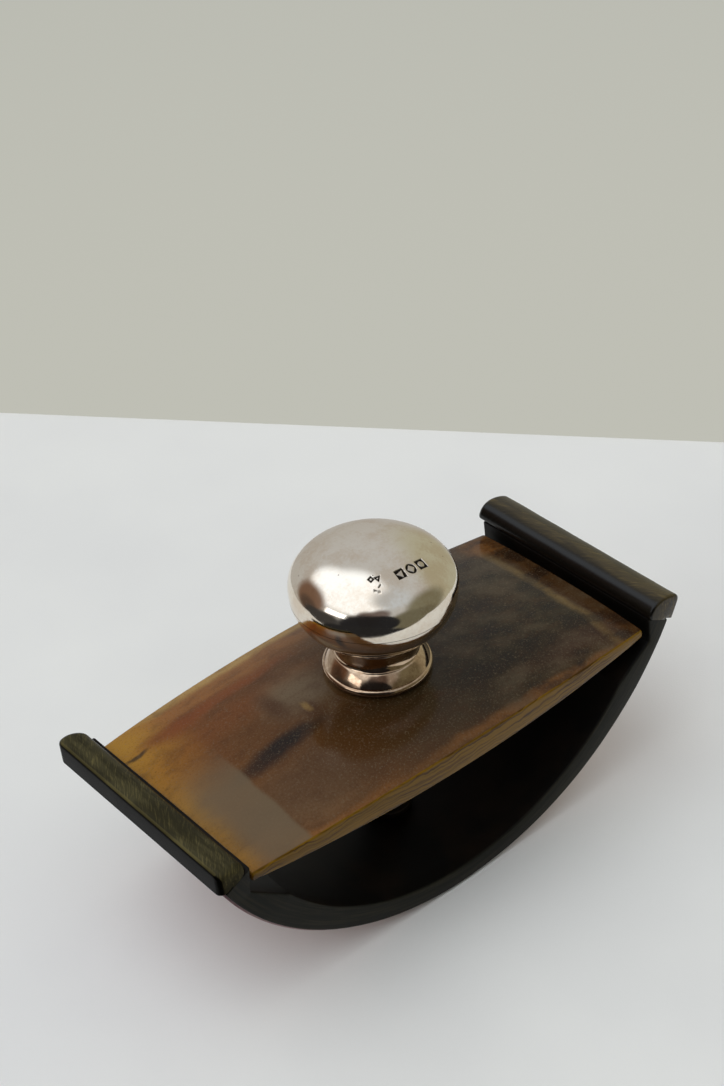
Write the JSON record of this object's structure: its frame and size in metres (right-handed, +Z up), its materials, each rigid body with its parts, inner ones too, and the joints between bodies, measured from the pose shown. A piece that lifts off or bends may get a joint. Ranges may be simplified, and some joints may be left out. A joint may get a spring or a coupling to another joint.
{
  "type": "rocker blotter",
  "caption": "Desk rocker blotter of dark and golden horn, with a silver mushroom knob and pink blotting paper round its curved underside.",
  "frame": {"origin": "under the middle of the blotter, on the surface that it stands on", "axes": "+X along the length, in the direction that it rocks; +Y across the width; +Z up through the knob"},
  "size_m": [0.1444, 0.0641, 0.0869],
  "materials": {
    "dark_horn": "polished dark horn, satin where worn",
    "gold_horn": "polished translucent horn, mottled gold, brown and grey-green",
    "silver": "polished silver with fine wear",
    "brass": "dull turned brass",
    "blotting_paper": "matt pink blotting paper",
    "felt": "brown felt",
    "pitch": "dull pitch"
  },
  "bodies": {
    "rocker": {"rocker_base": "dark_horn", "blotting_paper": "blotting_paper", "centre_bolt": "brass", "spacer_pillar": "brass"},
    "left_bar": {"left_end_bar": "dark_horn", "left_bar_peg_near": "brass", "left_bar_peg_far": "brass"},
    "right_bar": {"right_end_bar": "dark_horn", "right_bar_peg_near": "brass", "right_bar_peg_far": "brass"},
    "top": {"top_plate": "gold_horn"},
    "knob_seat": {"felt_washer": "felt"},
    "knob": {"knob_dome": "silver", "knob_bowl": "silver", "knob_neck_collar": "silver", "knob_neck": "silver", "knob_foot_bead": "silver", "knob_foot_plate": "silver", "knob_core": "pitch", "threaded_bush": "brass"}
  },
  "joints": [
    {"name": "top_lift", "type": "slide", "parent": "rocker", "child": "top", "axis": [0, 0, 1], "range_m": [0, 0.03]},
    {"name": "knob_rise", "type": "slide", "parent": "top", "child": "knob_seat", "axis": [0, 0, 1], "range_m": [0, 0.005]},
    {"name": "knob_turn", "type": "hinge", "parent": "knob_seat", "child": "knob", "pos_m": [0, 0, 0.051], "axis": [0, 0, 1], "range_deg": [0, 1800]},
    {"name": "left_bar_lift", "type": "slide", "parent": "rocker", "child": "left_bar", "axis": [-0.454, 0, 0.891], "range_m": [0, 0.005]},
    {"name": "right_bar_lift", "type": "slide", "parent": "rocker", "child": "right_bar", "axis": [0.454, 0, 0.891], "range_m": [0, 0.005]}
  ],
  "couplings": [
    {"joint": "knob_rise", "follows": "knob_turn", "m_per_rad": 0.00015915}
  ]
}
